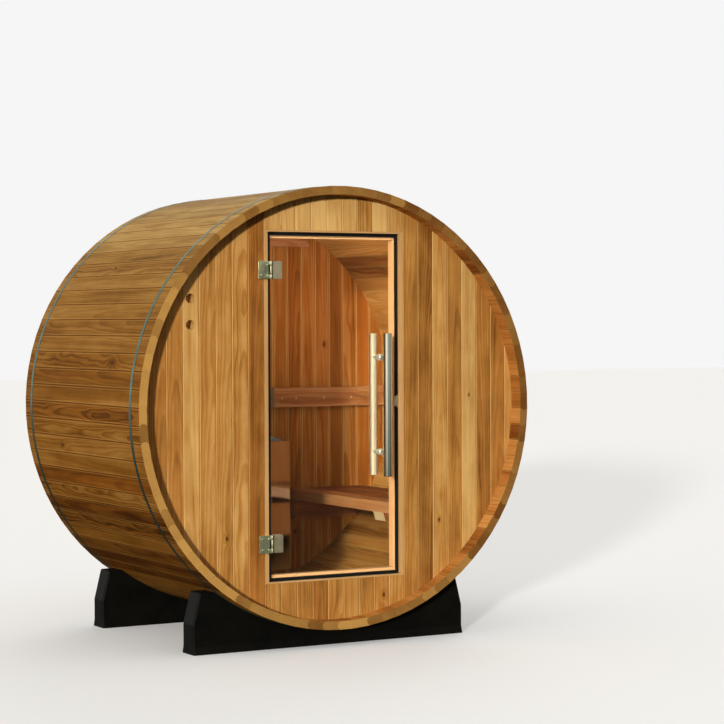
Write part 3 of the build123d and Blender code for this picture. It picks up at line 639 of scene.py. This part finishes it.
def dress(node, tones=None, knots=None, mean=(0.5, 0.3, 0.35), swing=(0.2, 0.25, 0.3), ease=0.0007,
          end_mean=0.6):
    """Stands for a CAD node of boards. tones and knots are given by board number."""
    tones, knots = tones or {}, knots or {}
    slot = SLOT_OF[node]
    bm = eased_copy(node, ease, segments=2, bend=28)
    bmesh.ops.remove_doubles(bm, verts=bm.verts, dist=0.00001)
    bm.verts.ensure_lookup_table()
    bm.verts.index_update()
    layer = {name: bm.verts.layers.float_vector.new(name) for name in ("grain", "tone", "knot", "place")}
    cut = bm.faces.layers.float_vector.new("cut")
    groups = sorted(islands(bm), key=lambda vs: tuple(round(c, 3) for c in middle([v.co for v in vs])[0]))
    for group in groups:
        points = [v.co.copy() for v in group]
        axes, number = board_axes(node, points)
        across, through, along = axes
        centre = board_centre(node, number, middle(points)[0])
        half = half_width(node, points, centre, across)
        heart, tone, end_light, inner_light = board_look(node, number, centre, tones, mean, swing, end_mean)
        knot_across, knot_along, knot_size = knots.get(number, NO_KNOT)
        for v in group:
            place = [(v.co - centre).dot(axis) for axis in axes]
            v[layer["grain"]] = Vector(place) + heart
            v[layer["tone"]] = tone
            v[layer["knot"]] = Vector((place[0] - knot_across, place[2] - knot_along, knot_size))
            v[layer["place"]] = Vector((place[0], half, place[2]))
        for f in {f for v in group for f in v.link_faces}:
            end = 1.0 if abs(f.normal.dot(along)) > 0.8 else 0.0
            within = inner_light if f.normal.dot(through) < -0.5 else 0.0
            f[cut] = Vector((end, end_light, within))
            f.smooth = False
    piece = piece_of(bm, "wood_" + node, WOOD[slot])
    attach(piece, "cabin")
    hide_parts(node)


# Tones of single boards, by number: lightness, redness, figure. Knots: across, along, size, in metres.
# The staves run from low on the left up to the top: darker low down, partly painted shade, and paler near
# the top, partly painted light.

STAVE_TONES = {
    49: (0.14, 0.40, 0.3), 50: (0.06, 0.40, 0.3), 51: (0.26, 0.30, 0.3), 52: (0.42, 0.05, 0.2),
    53: (0.28, 0.35, 0.6), 54: (0.16, 0.50, 0.3), 55: (0.50, 0.05, 0.6), 56: (0.36, 0.70, 0.2),
    57: (0.55, 0.25, 0.1), 58: (0.56, 0.25, 0.3), 59: (0.52, 0.25, 0.6), 60: (0.36, 0.45, 0.6),
    61: (0.48, 0.20, 0.2), 62: (0.38, 0.35, 0.3), 63: (0.48, 0.20, 0.6), 64: (0.52, -0.15, 0.2),
    65: (0.48, -0.20, 0.3), 66: (0.56, -0.25, 0.2), 67: (0.52, -0.30, 0.2), 68: (0.60, -0.35, 0.1),
    69: (0.50, -0.35, 0.6), 70: (0.54, -0.45, 0.4), 71: (0.76, -0.65, 0.3), 72: (0.86, -0.75, 0.3),
    73: (0.80, -0.70, 0.3), 74: (0.70, -0.80, 0.2), 75: (0.80, -0.85, 0.3), 76: (0.64, -0.90, 0.3),
    77: (0.52, -0.90, 0.4), 78: (0.60, -0.90, 0.2), 79: (0.56, -0.90, 0.3),
}
STAVE_KNOTS = {
    53: (0.0, -0.38, 0.006), 58: (0.004, 0.22, 0.007), 63: (0.005, -0.30, 0.010), 69: (-0.004, 0.10, 0.006),
}
FRONT_LEFT = {
    -5: (0.26, 0.55, 0.2), -6: (0.56, 0.30, 0.45), -7: (0.54, 0.30, 0.3), -8: (0.52, 0.35, 0.3),
    -9: (0.68, 0.20, 0.2), -10: (0.48, 0.45, 0.3), -11: (0.44, 0.45, 0.3), -12: (0.42, 0.45, 0.3),
}
FRONT_RIGHT = {
    5: (0.36, 0.25, 0.2), 6: (0.24, 0.15, 0.4), 7: (0.62, 0.20, 0.2), 8: (0.46, 0.20, 0.3),
    9: (0.82, -0.30, 0.1), 10: (0.34, 0.30, 0.3), 11: (0.36, 0.35, 0.2), 12: (0.60, 0.30, 0.2),
}
# Boards over the door are paler, partly painted light against the shade of the rim above them
OVER_DOOR = {
    -4: (0.78, 0.15, 0.2), -3: (0.74, 0.2, 0.5), -2: (0.90, 0.1, 0.2), -1: (0.92, 0.05, 0.2),
    0: (0.88, 0.1, 0.2), 1: (0.82, 0.1, 0.3), 2: (0.52, 0.35, 0.5), 3: (1.0, -0.1, 0.1), 4: (0.66, 0.2, 0.3),
}
UNDER_DOOR = {
    -4: (0.50, 0.20, 0.5), -3: (0.38, 0.2, 0.3), -2: (0.42, 0.2, 0.3), -1: (0.30, 0.4, 0.2),
    0: (0.50, 0.25, 0.4), 1: (0.50, 0.25, 0.2), 2: (0.42, 0.25, 0.3), 3: (0.44, 0.35, 0.3),
    4: (0.50, 0.25, 0.3),
}


def staves():
    for index in range(1, 11):
        dress("staves_%02d" % index, STAVE_TONES, STAVE_KNOTS, mean=(0.5, 0.25, 0.35),
              swing=(0.2, 0.2, 0.3), ease=0.0012)


def end_walls():
    dress("front_wall_left", FRONT_LEFT, {-7: (0.01, -0.52, 0.006)})
    dress("vent_board", FRONT_LEFT)
    dress("front_wall_right", FRONT_RIGHT, {7: (-0.006, -0.49, 0.005), 9: (0.0, 0.04, 0.004)})
    dress("front_wall_over_door", OVER_DOOR)
    dress("front_wall_under_door", UNDER_DOOR, {3: (0.012, 0.0, 0.006)})
    rear = {"mean": (0.5, 0.35, 0.25), "swing": (0.12, 0.2, 0.2)}
    dress("rear_wall_left", **rear)
    dress("rear_wall_right", knots={5: (0.0, -0.62, 0.008), 7: (0.01, 0.25, 0.006)}, **rear)


def door_lining():
    for node in ("door_jambs", "door_head", "door_sill"):
        dress(node, mean=(0.42, 0.25, 0.1), swing=(0.05, 0.1, 0.1))
    dress("door_stops", mean=(0.8, 1.0, 0.0), swing=(0.05, 0.05, 0.0))


def benches():
    # The front slat of each bench is paler, partly painted light where light through the door falls on it
    for side, front_edge in (("right", 5), ("left", -5)):
        dress("bench_slats_" + side, {front_edge: (0.64, 0.45, 0.2)}, mean=(0.34, 0.5, 0.3),
              swing=(0.1, 0.2, 0.2), end_mean=0.8)
        dress("bench_supports_" + side, mean=(0.4, 0.45, 0.3), end_mean=0.8)
    dress("rear_battens", mean=(0.62, 0.6, 0.4), swing=(0.05, 0.1, 0.1), end_mean=0.8)


# Metal, plastic, rubber, glass

def finish_cad_nodes():
    """The CAD nodes that aren't wood get their materials."""
    for node, obj in NODES.items():
        slot = SLOT_OF[node]
        if slot in OTHER:
            obj.data.materials.clear()
            obj.data.materials.append(OTHER[slot])


def soften(node, width, body):
    """Stands for a CAD node of metal: the same shape with its sharp edges eased."""
    piece = piece_of(eased_copy(node, width, segments=3, bend=50), "metal_" + node, OTHER[SLOT_OF[node]])
    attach(piece, body)
    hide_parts(node)


def screws(name, places, radius, slot):
    """Domed heads with a cross recess, facing the front."""
    steps = 20
    turns = [2 * math.pi * k / steps for k in range(steps)]
    dome = ((1.0, 0.0), (0.9, 0.0007), (0.7, 0.0012), (0.42, 0.0014))
    recess = [0.4 if k % 5 == 0 else 0.13 for k in range(steps)]
    recess_depth = 0.0012
    bm = bmesh.new()

    def ring(x, y, z, reaches):
        return [bm.verts.new((x + radius * reach * math.cos(turn), y, z + radius * reach * math.sin(turn)))
                for turn, reach in zip(turns, reaches)]

    for x, y, z in places:
        rings = [ring(x, y - lift, z, [reach] * steps) for reach, lift in dome]
        rings.append(ring(x, y + recess_depth, z, recess))
        for outer, inner in zip(rings, rings[1:]):
            for k in range(steps):
                after = (k + 1) % steps
                bm.faces.new((outer[k], outer[after], inner[after], inner[k]))
        bm.faces.new(rings[-1])
    bmesh.ops.recalc_face_normals(bm, faces=bm.faces)
    piece = piece_of(bm, name, OTHER[slot])
    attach(piece, "cabin")


def fittings():
    soften("hinge_wall_leaves", 0.0008, "cabin")
    soften("hinge_glass_leaves", 0.0008, "door")
    soften("door_catch", 0.0006, "door")
    soften("heater_case", 0.0015, "cabin")
    hinges_z = sum(corner.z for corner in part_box("hinge_wall_leaves")) / 2
    leaf_y = WALL_FACE_Y - LEAF_THICKNESS
    screws("hinge_screws",
           [(HINGE_AXIS_X + x, leaf_y, hinges_z + way * HINGE_HALF_SPACING + up)
            for way in (-1, 1) for x in LEAF_SCREWS_X for up in LEAF_SCREWS_Z],
           LEAF_SCREW_RADIUS, "hinge_steel")
    batten_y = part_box("rear_battens")[0].y
    screws("batten_screws",
           [(side * x, batten_y, BATTEN_SCREWS_Z) for side in (-1, 1) for x in BATTEN_SCREWS_X],
           BATTEN_SCREW_RADIUS, "hinge_steel")


# Heater stones: loose rocks heaped in the tray, in two layers of columns and rows

def rock(bm, rng, place, size, lo, hi):
    """One lumpy rock, kept within the box of the stones."""
    spin = Matrix.Rotation(rng.uniform(0, 6.28), 3, Vector((rng.random(), rng.random(), 1)).normalized())
    shape = Vector((rng.uniform(0.85, 1.1), rng.uniform(0.75, 1.0), rng.uniform(0.6, 0.75)))
    made = bmesh.ops.create_icosphere(bm, subdivisions=3, radius=1.0)["verts"]
    salt = Vector((rng.uniform(0, 50), rng.uniform(0, 50), rng.uniform(0, 50)))
    inset = 0.0005
    for vert in made:
        p = vert.co.copy()
        lump = 1 + 0.22 * noise.noise(p * 1.1 + salt) + 0.07 * noise.noise(p * 3.7 + salt)
        p = Vector([math.copysign(abs(c) ** 0.8, c) for c in p]) * lump * size
        q = spin @ Vector((p.x * shape.x, p.y * shape.y, p.z * shape.z)) + place
        vert.co = Vector([min(max(q[k], lo[k] + inset), hi[k] - inset) for k in range(3)])


def rocks():
    """The rocks of the lower and the upper layer, whose ends slope down a little."""
    lo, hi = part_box("heater_stones")
    rng = random.Random(11)
    bm = bmesh.new()
    for upper in (0, 1):
        for column in range(ROCK_COLUMNS):
            for row in range(ROCK_ROWS):
                size = rng.uniform(*ROCK_SIZES)
                nudge = upper * rng.uniform(-0.3, 0.3)
                share = min(1.0, max(0.0, (column + nudge) / (ROCK_COLUMNS - 1)))
                x = lo.x + size + (hi.x - lo.x - 2 * size) * share
                y = lo.y + size + (hi.y - lo.y - 2 * size) * row / (ROCK_ROWS - 1)
                fall = HEAP_FALL * max(0.0, abs(2 * share - 1) - HEAP_FLAT) / (1 - HEAP_FLAT)
                z = hi.z - size * 0.78 - fall if upper else lo.z + size * 0.8
                rock(bm, rng, Vector((x, y, z)), size, lo, hi)
    piece = piece_of(bm, "heater_rocks", OTHER["heater_stone"])
    piece.data.shade_smooth()
    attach(piece, "cabin")
    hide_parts("heater_stones")


# Stage, lamps and camera

def pale_floor():
    """Pale floor to the eye, darker to the light that it sends on, and unseen in mirrors."""
    bpy.ops.mesh.primitive_plane_add(size=FLOOR_SIZE, location=(0, 0, FLOOR_Z))
    floor = bpy.context.object
    floor.name = "studio_floor"
    g = Graph("studio_floor")
    path = g.node("LightPath").outputs
    direct = g.math("MAXIMUM", path["Is Camera Ray"], path["Is Transmission Ray"])
    matt = g.principled(Base_Color=g.mix(direct, rgb(96, 82, 62), rgb(236, 235, 232)), Roughness=0.95,
                        Specular_IOR_Level=0.0)
    glow = g.fill(g.node("Emission"), WHITE, g.times(direct, FLOOR_LIFT))
    both = g.fill(g.node("AddShader"), matt, glow)
    unseen = g.node("BsdfTransparent").outputs[0]
    floor.data.materials.append(g.finish(g.shader_mix(path["Is Glossy Ray"], both, unseen)))


def surroundings():
    """World: plain backdrop to the eye, soft room to matt surfaces, brighter left side in mirrors."""
    g = Graph("studio", world=True)
    path = g.node("LightPath").outputs
    around = g.node("TexCoord").outputs["Generated"]
    height = g.split(around)[2]
    room = g.fill(g.node("Background"), (1.0, 0.985, 0.96, 1.0),
                  g.span(height, 0.1, 0.9, ROOM * 0.25, ROOM * 1.9))
    backdrop = g.fill(g.node("Background"), WHITE, BACKDROP)

    # Mirrors see soft upright streaks, brighter towards the left and up, and darkness under the horizon
    leftness = g.vector("DOT_PRODUCT", around, (-1.0, 0.35, 0.8))
    sides = g.span(leftness, 0.25, 0.6, MIRROR_FRONT, MIRROR_SIDE)
    streaks = g.noise(g.vector("MULTIPLY", around, (6.0, 6.0, 0.3)))
    streaky = g.times(sides, g.span(streaks, 0.44, 0.56, 0.2, 1.3))
    mirrored = g.fill(g.node("Background"), WHITE, g.times(streaky, g.span(height, -0.09, -0.02, 0.08, 1.0)))

    unseen = g.shader_mix(path["Is Glossy Ray"], room, mirrored)
    direct = g.math("MAXIMUM", path["Is Camera Ray"], path["Is Transmission Ray"])
    bpy.context.scene.world = g.finish(g.shader_mix(direct, unseen, backdrop))


def lamp(name, kind, power, colour, hidden=()):
    """Lamp of some kind, hidden from the kinds of rays that are named."""
    data = bpy.data.lights.new(name, kind)
    data.energy = power
    data.color = colour
    made = bpy.data.objects.new(name, data)
    bpy.context.scene.collection.objects.link(made)
    for ray in hidden:
        setattr(made, "visible_" + ray, False)
    return made


def sun(name, towards, strength, spread, colour=(1, 1, 1)):
    """Far lamp that shines from a direction, spread over an angle in degrees."""
    made = lamp(name, "SUN", strength, colour)
    made.data.angle = math.radians(spread)
    made.rotation_euler = Vector(towards).to_track_quat("Z", "Y").to_euler()


def panel(name, place, turns, power, colour, hidden):
    """Flat lamp in the cabin, turned by degrees."""
    made = lamp(name, "AREA", power, colour, hidden)
    made.data.shape = "RECTANGLE"
    made.data.size = PANEL_WIDTH
    made.data.size_y = PANEL_HEIGHT
    made.location = place
    made.rotation_euler = [math.radians(turn) for turn in turns]
    return made


def suns():
    """Low key light from the front left, wide light from above, and a weaker one from behind."""
    sun("key", (-0.675, -0.724, 0.16), 2.85, 4, (1.0, 0.97, 0.91))
    sun("sky", (-0.1, -0.15, 1.0), 0.62, 110)
    sun("back", (0.55, 0.65, 0.45), 0.7, 40)


def cabin_lamps():
    """Light inside: through the doorway, back from the walls, and one that only polished metal mirrors."""
    unseen = ("camera", "glossy", "transmission")
    doorway = panel("doorway_glow", place=(FRONT_OFFSET, -0.42, 1.25), turns=(104, 0, -40), power=1.45,
                    colour=(1.0, 0.93, 0.84), hidden=unseen)
    doorway.data.spread = math.radians(80)
    room = lamp("room_glow", "POINT", power=2.6, colour=(1.0, 0.88, 0.74), hidden=unseen)
    room.data.shadow_soft_size = 0.22
    room.location = (0.3, -0.05, 1.5)
    # The lit inside of the front wall, right of the door
    panel("wall_glow", place=(0.58, -0.44, 0.66), turns=(90, 0, 0), power=0.31,
          colour=(1.0, 0.33, 0.09), hidden=("camera", "diffuse", "transmission"))


def photo_camera():
    """Camera at the photo's place and angle."""
    data = bpy.data.cameras.new("photo_camera")
    data.lens = CAMERA_LENS
    data.sensor_width = CAMERA_FILM
    camera = bpy.data.objects.new("photo_camera", data)
    bpy.context.scene.collection.objects.link(camera)
    camera.location = CAMERA_PLACE
    camera.rotation_euler = [math.radians(turn) for turn in CAMERA_TURNS]
    bpy.context.scene.camera = camera


staves()
end_walls()
door_lining()
benches()
finish_cad_nodes()
fittings()
rocks()
bpy.context.scene.cycles.diffuse_bounces = 1
pale_floor()
surroundings()
suns()
cabin_lamps()
photo_camera()
bpy.context.scene.view_settings.view_transform = "Standard"
